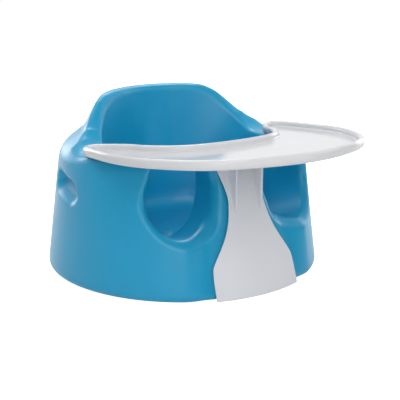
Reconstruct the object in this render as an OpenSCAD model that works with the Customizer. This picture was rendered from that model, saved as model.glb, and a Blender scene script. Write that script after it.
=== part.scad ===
// Baby floor seat with a play tray, in millimetres.
// Z is up, the baby looks along -Y, and the origin is the middle of the seat's foot on the floor.
// The seat is one thick-walled moulding of self-skinned foam: a cone with a low shoulder, a raised
// back, two leg openings either side of a pommel, and a finger grip in each side.
// The tray rests on the arms. Its stem stands against the pommel and hooks its toe under the foot.

/* [Seat foot and wall] */
// Diameter of the seat where its outer wall would meet the floor
foot_d = 380; // [370:1:390]
// How far the outer wall leans in for each millimetre of height
wall_lean = 0.126; // [0.11:0.002:0.14]
// Trim of the rounded edge between wall and underside
foot_round = 8; // [5:1:12]
// Height of the shoulder's corner, where wall and ledge would meet
shoulder_z = 165; // [160:1:168]
// Trim of the rounded shoulder
shoulder_round = 16; // [12:1:18]
// Rise of the ledge for each millimetre towards the middle
ledge_rise = 0.78; // [0.7:0.02:0.86]

/* [Backrest] */
// Height of the backrest's crest
seat_h = 235; // [228:1:242]
// Outer radius of the backrest at the height of its crest
crest_r = 115; // [112:1:118]
// How far the backrest's outside leans in for each millimetre of height
back_lean = 0.44; // [0.4:0.02:0.48]
// Distance behind the middle at which the rim starts to fall towards the arms
drop_back = 68; // [64:1:72]
// Distance before the middle at which the rim has reached the arms
drop_front = 6; // [4:1:9]

/* [Bucket] */
// Inner radius of the bucket between the arms, at the rim
bucket_r = 119; // [116:1:121]
// Inner radius of the bucket at the backrest's crest
back_in_r = 91; // [88:1:94]
// Inner radius of the bucket behind the pommel
pommel_in_r = 78; // [74:1:82]
// Radius of the bucket's floor corner
floor_r = 80; // [76:1:84]
// Height of the bucket's floor, which is also its thickness
floor_z = 52; // [46:1:56]

/* [Arms and pommel] */
// Height of the arms' top at the middle of the seat
arm_z = 168.2; // [166:0.1:170]
// Angle by which the arms' top and the tray rise towards the front
tray_tilt = 4.65; // [4:0.05:5.5]
// Drop of the pommel's top below the plane of the arms
pommel_drop = 4; // [3:0.5:8]
// Depth of the pommel's face behind the wall, at the floor
face_in = 4; // [3.5:0.1:5]
// How far the pommel's face leans back for each millimetre of height
face_lean = 0.34; // [0.3:0.01:0.36]

/* [Leg openings] */
// Angle between straight ahead and the middle of a leg opening
leg_angle = 33.4; // [32:0.2:35]
// Height of the middle of a leg opening
leg_z = 128; // [126:1:130]
// Radius of a leg opening inside its rounded edge
leg_r = 50; // [48:1:51]
// Width of the bevelled edge round a leg opening
leg_bevel = 10; // [8:1:12]
// Half the width of the slot by which a leg opening reaches the arms' top
leg_slot = 41; // [39:1:43]
// How far a leg opening's sill falls where it enters the bucket
leg_fall = 10; // [8:1:12]

/* [Finger grips] */
// Angle between straight ahead and the front end of a grip
grip_angle = 90; // [88:1:92]
// Length of a grip between the middles of its round ends
grip_l = 46; // [42:1:50]
// Radius of a grip's round ends
grip_r = 14; // [12:1:16]
// Height of a grip's front end
grip_z = 121; // [117:1:125]
// Rise of a grip from its front end to its rear end
grip_rise = 7; // [5:1:9]
// Depth of a grip into the wall
grip_depth = 14; // [12:1:16]

/* [Tray] */
// Width of the tray
tray_w = 344; // [340:1:348]
// Distance from the middle of the seat to the tray's front edge
tray_front = 281; // [277:1:286]
// Height of the tray's rolled rim
rim_h = 12; // [11:0.5:13]
// Width of the tray's rolled rim
rim_w = 9; // [8:0.5:10]
// Wall thickness of the rolled rim
rim_t = 2.5; // [2:0.1:3]
// Distance before the middle of the seat at which the wings' tips end
tray_tip = 6.5; // [5:0.5:10]
// Width of the tray's cut-out behind the wings' tips
tray_cut_w = 225; // [220:1:229]
// Distance before the middle of the seat at which the cut-out ends
tray_cut_y = 123.5; // [120:0.5:127]
// Thickness of the tray's floor
pan_t = 3; // [2.5:0.1:3.5]
// Height of the tray floor's underside above the rim's lower edge
pan_lift = 1.5; // [1:0.1:2]

/* [Tray stem] */
// Thickness of the stem's face
stem_t = 3.2; // [2.8:0.1:3.6]
// Half the stem's width at the floor
stem_foot_w = 65; // [62:1:68]
// Half the stem's width at its waist
stem_waist_w = 27; // [25:1:29]
// Half the stem's width under the tray
stem_top_w = 39; // [37:1:41]
// Reach of the toe under the seat
toe_l = 36; // [30:1:42]
// Half the width of the toe
toe_w = 58; // [54:1:60]
// Thickness of the toe
toe_t = 3; // [2.5:0.1:3.5]
// Distance of each gusset from the middle
gusset_x = 20; // [18:1:22]
// Thickness of the gussets and of the flange
gusset_t = 3; // [2.5:0.1:3.5]
// Height at which the gussets leave the stem's face
gusset_z = 104; // [98:1:110]

/* [Tray screws] */
// Diameter of the screws' shanks
screw_d = 3.5; // [3:0.1:4]
// Diameter of the screws' heads
screw_head_d = 7; // [6.5:0.1:8]
// Height of the screws' heads
screw_head_h = 2.4; // [2:0.1:2.8]
// Length of a screw under its head
screw_l = 9; // [8:0.5:9.5]
// Diameter of the bosses under the tray
boss_d = 9; // [8.5:0.1:10]
// Height of the bosses under the tray's floor
boss_h = 8; // [7.5:0.1:9]
// Distances of the screws from the middle, on each side
screw_x = [9, 31];
// Distance of the screws in front of the pommel's face
screw_out = 15; // [14:0.5:17]
// Distance from the screws to the flange's front edge
flange_reach = 14; // [11:0.5:16]

/* [Clearances] */
// Gap between the tray and the arms
tray_gap = 0.5; // [0.4:0.1:0.8]
// Gap between the stem and the seat
stem_gap = 0.8; // [0.6:0.1:1]
// Gap beside the toe in its pocket
toe_gap = 1.5; // [1:0.1:2]
// Gap round a screw in the flange's holes
hole_gap = 0.3; // [0.2:0.05:0.4]
// Gap round a screw's thread in its boss
thread_gap = 0.05; // [0.03:0.01:0.1]

/* [Hidden] */
seat_blue = [0.13, 0.51, 0.72];
tray_white = [0.93, 0.93, 0.94];
stem_white = [0.82, 0.83, 0.84];
screw_steel = [0.7, 0.71, 0.72];

foot_r = foot_d / 2;
rise = tan(tray_tilt);

// ---- Small helpers ------------------------------------------------------------------------------

function mix(a, b, t) = a + (b - a) * t;
function clamp01(t) = min(1, max(0, t));
function ease(t) = let (c = clamp01(t)) c * c * (3 - 2 * c);

// Points of a rounded corner at v between p and q, in n steps, trimmed by t where the sides allow
function corner(p, v, q, t, n) =
    let (a = v + (p - v) * min(t / norm(p - v), 0.46), b = v + (q - v) * min(t / norm(q - v), 0.46))
    [for (k = [0:n]) let (u = k / n) (1 - u) * (1 - u) * a + 2 * u * (1 - u) * v + u * u * b];

// A point on the curve through knots b and c, with neighbours a and d
function spline_at(a, b, c, d, u) =
    0.5 * (2 * b + (c - a) * u + (2 * a - 5 * b + 4 * c - d) * u * u
           + (3 * b - a - 3 * c + d) * u * u * u);

// A closed curve through the knots, n steps to each
function closed_spline(k, n) =
    let (m = len(k))
    [for (i = [0:m - 1], s = [0:n - 1])
        spline_at(k[(i + m - 1) % m], k[i], k[(i + 1) % m], k[(i + 2) % m], s / n)];

// The value at x of a smooth curve through knots [x, y] in rising order of x
function curve_at(k, x) =
    let (m = len(k),
         i = max([0, for (j = [0:m - 2]) x >= k[j][0] ? j : 0]),
         u = clamp01((x - k[i][0]) / (k[i + 1][0] - k[i][0])))
    spline_at(k[max(0, i - 1)][1], k[i][1], k[i + 1][1], k[min(m - 1, i + 2)][1], u);

// Faces of a closed tube of rings, n points to a ring and m rings, the first point being number s
function tube_faces(n, m, s = 0) =
    [for (i = [0:m - 2], j = [0:n - 1])
        let (k = (j + 1) % n, a = s + i * n, b = a + n)
        each [[a + j, b + k, b + j], [a + j, a + k, b + k]]];

// ---- Seat shell ---------------------------------------------------------------------------------

function wall_r(z) = foot_r - wall_lean * z;
function rest_z(y) = arm_z - rise * y;
// Height of the rim, which falls from the crest to the arms
function drop_z(y) =
    mix(rest_z(y), seat_h, ease((y + drop_front) / (drop_back + drop_front)));

// The ledge and the backrest's outside, as heights over a radius
shoulder_r = wall_r(shoulder_z);
function ledge_h(r) = shoulder_z + ledge_rise * (shoulder_r - r);
function flank_h(r) = seat_h - (r - crest_r) / back_lean;
function flank_r(z) = crest_r + back_lean * (seat_h - z);
function outside_h(r) = max(ledge_h(r), flank_h(r));
hollow_z = (shoulder_z + ledge_rise * (shoulder_r - crest_r - back_lean * seat_h))
           / (1 - ledge_rise * back_lean);
hollow_r = flank_r(hollow_z);

// Radius of the pommel's face, which is the foot's circle sheared backwards, at an angle and height
face_r0 = foot_r - face_in;
function face_r(phi, z, r0 = face_r0) =
    let (s = face_lean * z) sqrt(r0 * r0 - pow(s * sin(phi), 2)) - s * cos(phi);
face_full = asin(stem_foot_w / (face_r0 - face_lean * 20));
face_end = face_full + 11;
function face_share(phi) = 1 - ease((abs(phi) - face_full) / (face_end - face_full));
function outer_r(phi, z) = mix(wall_r(z), face_r(phi, z), face_share(phi));

// Radius of the bucket's rim at an angle from straight ahead
function rim_r(phi) =
    let (a = abs(phi))
    a < 90 ? mix(pommel_in_r, bucket_r, ease((a - 14) / 26))
           : mix(bucket_r, back_in_r, ease((a - 90) / 65));

// Share of the seat's depth over which the shoulder comes up to the arms' plane
arm_share = 0.2;

// Corners of the seat's section at an angle, from the foot over the rim to the bucket's floor
function section_corners(phi) =
    let (c = -cos(phi), p = face_share(phi),
         r5 = rim_r(phi),
         crest = drop_z(bucket_r * c),
         m = ease((crest - rest_z(bucket_r * c)) / 34),
         r3 = mix(mix(150, 122, p), hollow_r, m),
         r4 = mix(mix(128, 104, p), flank_r(max(crest, hollow_z)), m),
         z2 = mix(shoulder_z, rest_z(shoulder_r * c), ease(-c / arm_share)) - pommel_drop * p)
    [[0, 0],
     [outer_r(phi, 0), 0],
     [outer_r(phi, z2), z2],
     [r3, min(outside_h(r3), drop_z(r3 * c)) - pommel_drop * p],
     [r4, min(outside_h(r4), drop_z(r4 * c)) - pommel_drop * p],
     [r5, drop_z(r5 * c) - pommel_drop * p],
     [min(floor_r, r5 - 8), floor_z],
     [0, floor_z]];

section_trims = [0, foot_round, shoulder_round, 7, 7, 9, 26, 0];
section_steps = [0, 3, 5, 3, 3, 4, 5, 0];
crest_trim = 18;

wall_rows = 4;

function section(phi) =
    let (v = section_corners(phi), m = ease((v[4][1] - hollow_z) / 24))
    [for (i = [1:6])
        each concat(
            corner(v[i - 1], v[i], v[i + 1],
                   i == 4 ? mix(section_trims[4], crest_trim, m) :
                   i == 3 ? mix(section_trims[3], 10, m) : section_trims[i],
                   section_steps[i]),
            [for (k = [1:i == 1 ? wall_rows - 1 : 0])
                let (z = v[2][1] * k / wall_rows) [outer_r(phi, z), z]])];

ring_n = 108;
module seat_shell() {
    rings = [for (i = [0:ring_n - 1])
        let (phi = i * 360 / ring_n - 180)
        [for (q = section(phi)) [q[0] * sin(phi), -q[0] * cos(phi), q[1]]]];
    n = len(rings[0]);
    base = ring_n * n;
    points = [for (r = rings) each r, [0, 0, 0], [0, 0, floor_z]];
    faces = [for (i = [0:ring_n - 1])
        let (a = i * n, b = ((i + 1) % ring_n) * n)
        each concat(
            [for (j = [0:n - 2]) each [[a + j, a + j + 1, b + j + 1], [a + j, b + j + 1, b + j]]],
            [[base, a, b], [base + 1, b + n - 1, a + n - 1]])];
    polyhedron(points, faces, convexity = 8);
}

// ---- Leg openings -------------------------------------------------------------------------------

leg_top_z = 260;
leg_out_r = 250;

// Outline of a leg opening, across and up: round below and drawn in to the slot above
function leg_outline(r, slot, chamfer) =
    let (s = 20)
    concat([[-slot - chamfer, leg_top_z], [-slot - chamfer, arm_z + 14], [-slot, arm_z]],
           [for (k = [0:s]) let (t = 165 + k * 210 / s) [r * cos(t), leg_z + r * sin(t)]],
           [[slot, arm_z], [slot + chamfer, arm_z + 14], [slot + chamfer, leg_top_z]]);

// A flat ring of the cutter outside the seat, square to the opening
function leg_outer_ring(r, slot) =
    [for (q = leg_outline(r, slot, 6))
        let (t = -leg_angle)
        [leg_out_r * sin(t) + q[0] * cos(t), -leg_out_r * cos(t) + q[0] * sin(t), q[1]]];

// A ring of the cutter that follows the seat's outside at a depth
function leg_skin_ring(r, slot, depth) =
    [for (q = leg_outline(r, slot, 6))
        let (phi = -leg_angle + q[0] / (foot_r - 15) * 180 / PI,
             rr = outer_r(phi, min(q[1], arm_z)) - depth)
        [rr * sin(phi), -rr * cos(phi), q[1]]];

// A flat ring of the cutter inside the bucket, w being half its width
function leg_inner_ring(x, y, w, fall) =
    [for (q = leg_outline(leg_r, leg_slot, 0))
        [x + q[0] * w / leg_r, y, q[1] - max(0, leg_z - q[1]) / leg_r * fall]];

module leg_cutter() {
    b = leg_bevel;
    rings = concat(
        [leg_outer_ring(leg_r + b + 20, leg_slot + b + 20), leg_skin_ring(leg_r + b + 5, leg_slot + b + 5, -14)],
        [for (q = [[1.08, 0], [0.86, 0.1], [0.12, 0.82], [0.02, 0.98], [0, 1.2]])
            leg_skin_ring(leg_r + b * q[0], leg_slot + b * q[0], b * q[1])],
        [leg_inner_ring(-71, -72, 40, leg_fall), leg_inner_ring(-60, -40, 32, 1.9 * leg_fall)]);
    n = len(rings[0]);
    m = len(rings);
    points = [for (r = rings) each r];
    faces = concat(tube_faces(n, m),
                   [[for (j = [n - 1:-1:0]) j]],
                   [[for (j = [0:n - 1]) (m - 1) * n + j]]);
    polyhedron(points, faces, convexity = 6);
}

module finger_grip() {
    step = grip_l / foot_r * 180 / PI;
    hull() for (k = [0, 1])
        rotate([0, 0, -grip_angle - k * step])
            translate([0, -wall_r(grip_z) + grip_depth - grip_r, grip_z + k * grip_rise])
                sphere(grip_r, $fn = 24);
}

// ---- Tray plan, in the tray's own tilted frame --------------------------------------------------

// Puts what stands on the tray's resting plane, with its height over it, in its place
module on_rest_plane(lift = 0) {
    translate([0, 0, arm_z]) rotate([-tray_tilt, 0, 0]) translate([0, 0, lift]) children();
}

// Knots of half the tray's outline, from the front over the wing to the middle of the cut-out
tray_half = let (w = tray_w / 2, f = tray_front, b = -tray_tip, c = tray_cut_w / 2, d = tray_cut_y) [
    [0, -f], [0.384 * w, 13.5 - f], [0.709 * w, 46 - f], [0.919 * w, 105 - f], [w, 164 - f],
    [0.988 * w, b - 47], [0.968 * w, b - 20], [0.927 * w, b - 5.5], [0.86 * w, b], [0.794 * w, b - 4],
    [0.724 * w, b - 16], [c, b - 32], [0.933 * c, b - 47], [0.876 * c, 50 - d], [0.729 * c, 26 - d],
    [0.516 * c, 9 - d], [0.249 * c, 2 - d], [0, -d]];
tray_knots = concat(tray_half, [for (i = [len(tray_half) - 2:-1:1]) [-tray_half[i][0], tray_half[i][1]]]);
tray_outline = closed_spline(tray_knots, 3);

// The outline moved inwards by a distance at every point
function inset(pts, d) =
    let (n = len(pts))
    [for (i = [0:n - 1])
        let (t = pts[(i + 1) % n] - pts[(i + n - 1) % n], u = t / norm(t))
        pts[i] + d * [-u[1], u[0]]];

// The pocket under the seat's foot that the stem's toe slides out of, rising with the tray's slide
module toe_pocket() {
    back = toe_l - foot_r;
    front = -foot_r - 20;
    top = toe_t + stem_gap;
    x = toe_w + toe_gap;
    rotate([90, 0, 90])
        translate([0, 0, -x])
            linear_extrude(2 * x)
                polygon([[back + stem_gap, -5], [back + stem_gap, top],
                         [front, top + rise * (back + stem_gap - front)], [front, -5]]);
}

module seat_body() {
    color(seat_blue)
    difference() {
        seat_shell();
        for (s = [0, 1]) mirror([s, 0, 0]) {
            leg_cutter();
            finger_grip();
        }
        toe_pocket();
    }
}

// ---- Tray ---------------------------------------------------------------------------------------

pan_top = pan_lift + pan_t;

// Section of the rolled rim, inwards and up, from the pan's top over the rim to the pan's underside
rim_section = let (r = rim_w / 2, z = rim_h - r, q = r - rim_t) concat(
    [[rim_w + 2, pan_top], [rim_w, pan_top + 2]],
    [for (t = [0:30:180]) [r + r * cos(t), z + r * sin(t)]],
    [[0, 0.8], [0.8, 0], [rim_t, 0]],
    [for (t = [180:-60:0]) [r + q * cos(t), z + q * sin(t)]],
    [[rim_w - rim_t, pan_lift]]);

module tray_shell() {
    n = len(tray_outline);
    m = len(rim_section);
    points = [for (q = rim_section, p = inset(tray_outline, q[0])) [p[0], p[1], q[1]]];
    faces = concat(tube_faces(n, m),
                   [[for (j = [n - 1:-1:0]) j]],
                   [[for (j = [0:n - 1]) (m - 1) * n + j]]);
    polyhedron(points, faces, convexity = 6);
}

boss_low = pan_lift - boss_h;
screw_y = -(foot_r - face_in - face_lean * arm_z) - screw_out;

module tray() {
    color(tray_white)
    on_rest_plane(tray_gap)
        difference() {
            union() {
                tray_shell();
                for (s = [-1, 1], x = screw_x)
                    translate([s * x, screw_y, boss_low]) cylinder(h = boss_h + pan_t / 2, d = boss_d, $fn = 32);
            }
            for (s = [-1, 1], x = screw_x)
                translate([s * x, screw_y, boss_low - 1])
                    cylinder(h = screw_l - gusset_t + 1.5, d = screw_d + 2 * thread_gap, $fn = 32);
        }
}

// ---- Tray stem ----------------------------------------------------------------------------------

stem_in_r = face_r0 + stem_gap;
stem_out_r = stem_in_r + stem_t;
flange_z = boss_low - gusset_t;
stem_top_z = rest_z(screw_y) + flange_z + tray_gap + gusset_t / 2 - 1;

// Half the stem's width at a height: broad on the floor, waisted, and flared under the tray
function stem_hw(z) =
    let (a = stem_foot_w, b = stem_waist_w, c = stem_top_w)
    curve_at([[0, a], [22, a - 0.6], [36, a - 1.8], [41, mix(b, a, 0.91)], [46, mix(b, a, 0.83)],
              [55, mix(b, a, 0.68)], [65, mix(b, a, 0.505)], [75, mix(b, a, 0.353)], [85, mix(b, a, 0.226)],
              [95, mix(b, a, 0.129)], [105, mix(b, a, 0.06)], [120, b], [135, mix(b, c, 0.17)],
              [145, mix(b, c, 0.42)], [155, mix(b, c, 0.65)], [176, c + 1]], z);

// A point of the stem's face at a height, on the pommel's sheared circle of a radius
function stem_point(x, z, r) = [x, face_lean * z - sqrt(r * r - x * x), z];

// The stem's face, as rings of points from the floor up
module stem_face() {
    cols = 14;
    rows = [0, 12, 22, 30, 36, 41, 46, 51, 56, 62, 68, 75, 82, 90, 98, 106, 114, 122, 130, 138, 146, 155, stem_top_z];
    n = 2 * (cols + 1);
    points = [for (z = rows) let (w = stem_hw(z)) each concat(
        [for (k = [0:cols]) stem_point(w * (2 * k / cols - 1), z, stem_in_r)],
        [for (k = [cols:-1:0]) stem_point(w * (2 * k / cols - 1), z, stem_out_r)])];
    faces = concat(tube_faces(n, len(rows)),
                   [[for (j = [n - 1:-1:0]) j]],
                   [[for (j = [0:n - 1]) (len(rows) - 1) * n + j]]);
    polyhedron(points, faces, convexity = 4);
}

// The toe that hooks under the seat's foot, rooted in the face, just off the floor
module stem_toe() {
    cols = 10;
    r = stem_in_r + stem_t / 2;
    y = toe_l - foot_r;
    translate([0, 0, 0.3])
        linear_extrude(toe_t - 0.3)
            polygon(concat([[toe_w, y - 8], [toe_w - 8, y], [8 - toe_w, y], [-toe_w, y - 8]],
                           [for (k = [0:cols]) let (x = toe_w * (2 * k / cols - 1)) [x, -sqrt(r * r - x * x)]]));
}

module stem_flange() {
    cols = 9;
    x0 = stem_top_w + 1;
    r = stem_in_r + stem_t / 2;
    y0 = screw_y - flange_reach;
    on_rest_plane(tray_gap + flange_z)
        difference() {
            linear_extrude(gusset_t)
                polygon(concat([[-x0, y0 + 4], [4 - x0, y0], [x0 - 4, y0], [x0, y0 + 4]],
                               [for (k = [cols:-1:0])
                                   let (x = x0 * (2 * k / cols - 1))
                                   [x, face_lean * stem_top_z - sqrt(r * r - x * x)]]));
            for (s = [-1, 1], x = screw_x)
                translate([s * x, screw_y, -1])
                    cylinder(h = gusset_t + 2, d = screw_d + 2 * hole_gap, $fn = 32);
        }
}

module stem_gusset() {
    r = stem_in_r + stem_t / 2;
    low = stem_point(gusset_x, gusset_z, r);
    top = stem_point(gusset_x, stem_top_z, r);
    rotate([90, 0, 90])
        translate([0, 0, gusset_x - gusset_t / 2])
            linear_extrude(gusset_t)
                polygon([[low[1], low[2]], [low[1], top[2] + rise * (top[1] - low[1])], [top[1], top[2]]]);
}

module tray_stem() {
    color(stem_white) {
        stem_face();
        stem_toe();
        stem_flange();
        for (s = [0, 1]) mirror([s, 0, 0]) stem_gusset();
    }
}

// ---- Tray screws --------------------------------------------------------------------------------

module tray_screws() {
    r = screw_d / 2;
    h = screw_head_d / 2;
    color(screw_steel)
    on_rest_plane(tray_gap + flange_z)
        for (s = [-1, 1], x = screw_x)
            translate([s * x, screw_y, 0])
                rotate_extrude($fn = 32)
                    polygon([[0, -screw_head_h], [h - 1.2, -screw_head_h], [h, 0.9 - screw_head_h], [h, 0],
                             [r, 0], [r, screw_l - 1.5], [0, screw_l]]);
}

seat_body();
tray();
tray_stem();
tray_screws();
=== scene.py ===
"""Baby floor seat with its play tray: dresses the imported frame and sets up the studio.

Sizes are in millimetres, as in the part's source, and become metres where a mesh is made.
The baby looks along -Y, Z is up, and the origin is the middle of the seat's foot on the floor.
"""
import logging
import math
from dataclasses import dataclass
from enum import Enum

import bmesh
import bpy
import numpy as np
from mathutils import Matrix, Vector
from mathutils.geometry import delaunay_2d_cdt


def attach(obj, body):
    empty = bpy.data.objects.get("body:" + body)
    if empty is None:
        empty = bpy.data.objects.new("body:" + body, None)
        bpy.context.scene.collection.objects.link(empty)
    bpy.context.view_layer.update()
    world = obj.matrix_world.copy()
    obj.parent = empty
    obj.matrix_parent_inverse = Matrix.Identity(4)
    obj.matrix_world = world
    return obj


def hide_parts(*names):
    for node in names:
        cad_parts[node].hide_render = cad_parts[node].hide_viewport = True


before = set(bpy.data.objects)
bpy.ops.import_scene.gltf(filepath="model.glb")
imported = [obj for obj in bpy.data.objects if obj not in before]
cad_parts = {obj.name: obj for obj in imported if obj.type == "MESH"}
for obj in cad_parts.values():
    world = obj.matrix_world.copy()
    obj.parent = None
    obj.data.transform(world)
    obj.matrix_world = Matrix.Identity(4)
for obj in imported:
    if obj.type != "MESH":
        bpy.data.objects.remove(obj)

Array = np.ndarray
Number = float | np.ndarray
Pair = tuple[float, float]
Triple = tuple[float, float, float]
Object = bpy.types.Object
Material = bpy.types.Material
Socket = bpy.types.NodeSocket
Tree = bpy.types.NodeTree

log = logging.getLogger("floor_seat")
MM = 0.001  # metres in a millimetre
WHITE = (1, 1, 1, 1)
AXIS_R = 0.02  # radius at which a turned piece ends, so that no face is a point
ROUND_STEPS = 28  # steps round a screw, a boss or a bore
CORNER_STEPS = 7  # steps along a rounded corner of the seat's section
CORNER_SHARE = 0.46  # largest share of a side that a rounded corner takes
BATCH = 12000  # points of the seat's field worked out at once


# ---- Curves and distances ----


def mix(a: Number, b: Number, t: Number) -> Number:
    """Linear blend from a to b by t, for numbers or arrays."""
    return a + (b - a) * t


def ease(t: Number) -> Number:
    """Smooth step of t between 0 and 1."""
    c = np.clip(t, 0.0, 1.0)
    return c * c * (3.0 - 2.0 * c)


def fade(x: Number, start: Number, width: Number) -> Number:
    """Smooth step of x over a width from start."""
    return ease((x - start) / width)


def rounded_corner(p: Array, v: Array, q: Array, trim: Number) -> Array:
    """Rounds the corner at v between p and q for many sections at once.

    Args:
        p: Previous corners, one row of two numbers to a section.
        v: Corners to round.
        q: Next corners.
        trim: Length cut off each side, where the sides allow.

    Returns:
        Points as an array of sections by CORNER_STEPS + 1 by two.
    """
    to_p, to_q = (np.minimum(trim / np.linalg.norm(k - v, axis=1), CORNER_SHARE)[:, None] for k in (p, q))
    a, b = v + (p - v) * to_p, v + (q - v) * to_q
    u = np.linspace(0.0, 1.0, CORNER_STEPS + 1)[None, :, None]
    return (1 - u) ** 2 * a[:, None] + 2 * u * (1 - u) * v[:, None] + u * u * b[:, None]


def spline(a: Array, b: Array, c: Array, d: Array, u: Array) -> Array:
    """The smooth curve from b to c at shares u, where a comes before and d after."""
    rest = (2 * a - 5 * b + 4 * c - d) * u * u + (3 * b - a - 3 * c + d) * u**3
    return 0.5 * (2 * b + (c - a) * u + rest)


def closed_spline(knots: Array, steps: int) -> Array:
    """A closed smooth curve through knots, with so many steps to each."""
    a, b, c, d = (np.roll(knots, k, 0)[:, None] for k in (1, 0, -1, -2))
    return spline(a, b, c, d, (np.arange(steps) / steps)[None, :, None]).reshape(-1, 2)


def curve_at(knots: list[Pair], x: Array) -> Array:
    """Values at x of a smooth curve through knots (x, y) in rising order of x."""
    kx, ky = np.array(knots).T
    i = np.clip(np.searchsorted(kx, x, side="right") - 1, 0, len(kx) - 2)
    u = np.clip((x - kx[i]) / (kx[i + 1] - kx[i]), 0, 1)
    return spline(ky[np.maximum(i - 1, 0)], ky[i], ky[i + 1], ky[np.minimum(i + 2, len(kx) - 1)], u)


def polygon_distance(u: Array, v: Array, poly: Array) -> Array:
    """Signed distances to closed polygons, negative inside.

    Args:
        u: First coordinates, rows by columns.
        v: Second coordinates, of the same shape.
        poly: One polygon for each row (rows by points by two), or one for all (1 by points by two).

    Returns:
        Distances, rows by columns.
    """
    a, b = poly, np.roll(poly, -1, 1)
    ax, ay, bx, by = (t[:, None, :] for t in (a[..., 0], a[..., 1], b[..., 0], b[..., 1]))
    px, py = u[:, :, None], v[:, :, None]
    ex, ey = bx - ax, by - ay
    wx, wy = px - ax, py - ay
    t = np.clip((wx * ex + wy * ey) / np.maximum(ex * ex + ey * ey, 1e-9), 0, 1)
    dist = np.sqrt(np.min((wx - ex * t) ** 2 + (wy - ey * t) ** 2, axis=2))
    spans = (ay > py) != (by > py)
    left = px < ax + ex * (py - ay) / np.where(np.abs(ey) < 1e-9, 1e-9, ey)
    inside = np.sum(spans & left, axis=2) % 2 == 1
    return np.where(inside, -dist, dist)


def round_intersection(a: Array, b: Array, radius: float) -> Array:
    """The solid inside both fields, with the edge between them rounded."""
    u, v = np.maximum(a + radius, 0), np.maximum(b + radius, 0)
    return np.minimum(-radius, np.maximum(a, b)) + np.hypot(u, v)


def inset(points: Array, d: float) -> Array:
    """A closed counter-clockwise outline moved inwards by d at every point."""
    tangent = np.roll(points, -1, 0) - np.roll(points, 1, 0)
    tangent /= np.linalg.norm(tangent, axis=1)[:, None]
    return points + d * np.stack([-tangent[:, 1], tangent[:, 0]], 1)


def filled(points: Array, start: int, up: bool) -> list[tuple[int, ...]]:
    """Triangles that fill a closed ring of flat points, numbered from start, facing up or down."""
    n = len(points)
    edges = [(i, (i + 1) % n) for i in range(n)]
    tris = delaunay_2d_cdt([Vector(p) for p in points], edges, [], 0, 1e-7)[2]
    tris = np.array([t if up else t[::-1] for t in tris])
    middle = points[tris].mean(1)
    inside = polygon_distance(middle[:, :1], middle[:, 1:], points[None])[:, 0] < 0
    return [tuple(t) for t in tris[inside] + start]


# ---- Sizes ----


@dataclass(frozen=True)
class SeatSizes:
    """Sizes of the foam moulding, in millimetres and degrees, as the part's source names them."""

    foot_r: float = 190.0
    way_r: float = 175.0
    wall_lean: float = 0.126
    foot_round: float = 8.0
    shoulder_z: float = 164.0
    shoulder_round: float = 16.0
    ledge_rise: float = 0.78
    seat_h: float = 233.4
    crest_r: float = 114.6
    back_lean: float = 0.479
    drop_back: float = 80.0
    drop_front: float = 20.5
    drop_power: float = 1.53
    crest_span: float = 34.0
    crest_blend: float = 24.0
    rim_front: Pair = (14.0, 26.0)
    rim_back: Pair = (90.0, 65.0)
    bucket_r: float = 119.0
    back_in_r: float = 91.0
    pommel_in_r: float = 78.0
    floor_r: float = 80.0
    floor_z: float = 52.0
    floor_round: float = 28.0
    core_r: float = -60.0
    arm_z: float = 168.2
    tray_tilt: float = 4.65
    arm_share: float = 0.2
    arm_top_r: Pair = (150.0, 128.0)
    pommel_top_r: Pair = (122.0, 104.0)
    arm_trims: tuple[float, ...] = (9.0, 9.0, 5.0)
    crest_trims: tuple[float, ...] = (5.0, 19.0, 10.0)
    pommel_drop: float = 4.0
    face_in: float = 4.0
    face_relief: float = 1.6
    face_lean: float = 0.34
    face_blend: float = 11.0
    leg_angle: float = 33.4
    leg_z: float = 128.0
    leg_r: float = 50.0
    leg_bevel: float = 10.0
    bevel_throat: float = 3.0
    bevel_out: float = 6.0
    bevel_in: float = 15.0
    bevel_turn: float = 17.0
    throat: Pair = (122.0, 16.0)
    throat_round: float = 2.6
    mouth_round: float = 6.0
    pommel_round: float = 15.0
    pommel_turn: Pair = (2.0, 14.0)
    pommel_rise: Pair = (84.0, 26.0)
    leg_slot: float = 41.0
    slot_flare: Pair = (5.0, 14.0)
    leg_fall: float = 20.0
    way_y: Pair = (-72.0, -40.0)
    way_x: Pair = (71.0, 60.0)
    way_share: Pair = (0.8, 0.64)
    way_end: float = -38.0
    grip_angle: float = 90.0
    grip_l: float = 46.0
    grip_r: float = 14.0
    grip_z: float = 121.0
    grip_rise: float = 7.0
    grip_depth: float = 14.0
    grip_fade: float = 9.0
    grip_lip: float = 1.6
    edge_round: float = 1.5
    stem_foot_w: float = 65.0
    stem_gap: float = 0.8
    toe_l: float = 36.0
    toe_w: float = 58.0
    toe_t: float = 3.0
    toe_gap: float = 1.5

    @property
    def rise(self) -> float:
        """Rise of the arms' plane for each millimetre forwards."""
        return math.tan(math.radians(self.tray_tilt))

    def rest_z(self, y: Number) -> Number:
        """Height of the arms' plane at y."""
        return self.arm_z - self.rise * y

    def wall_r(self, z: Number) -> Number:
        """Radius of the outer wall at a height."""
        return self.foot_r - self.wall_lean * z


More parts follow.
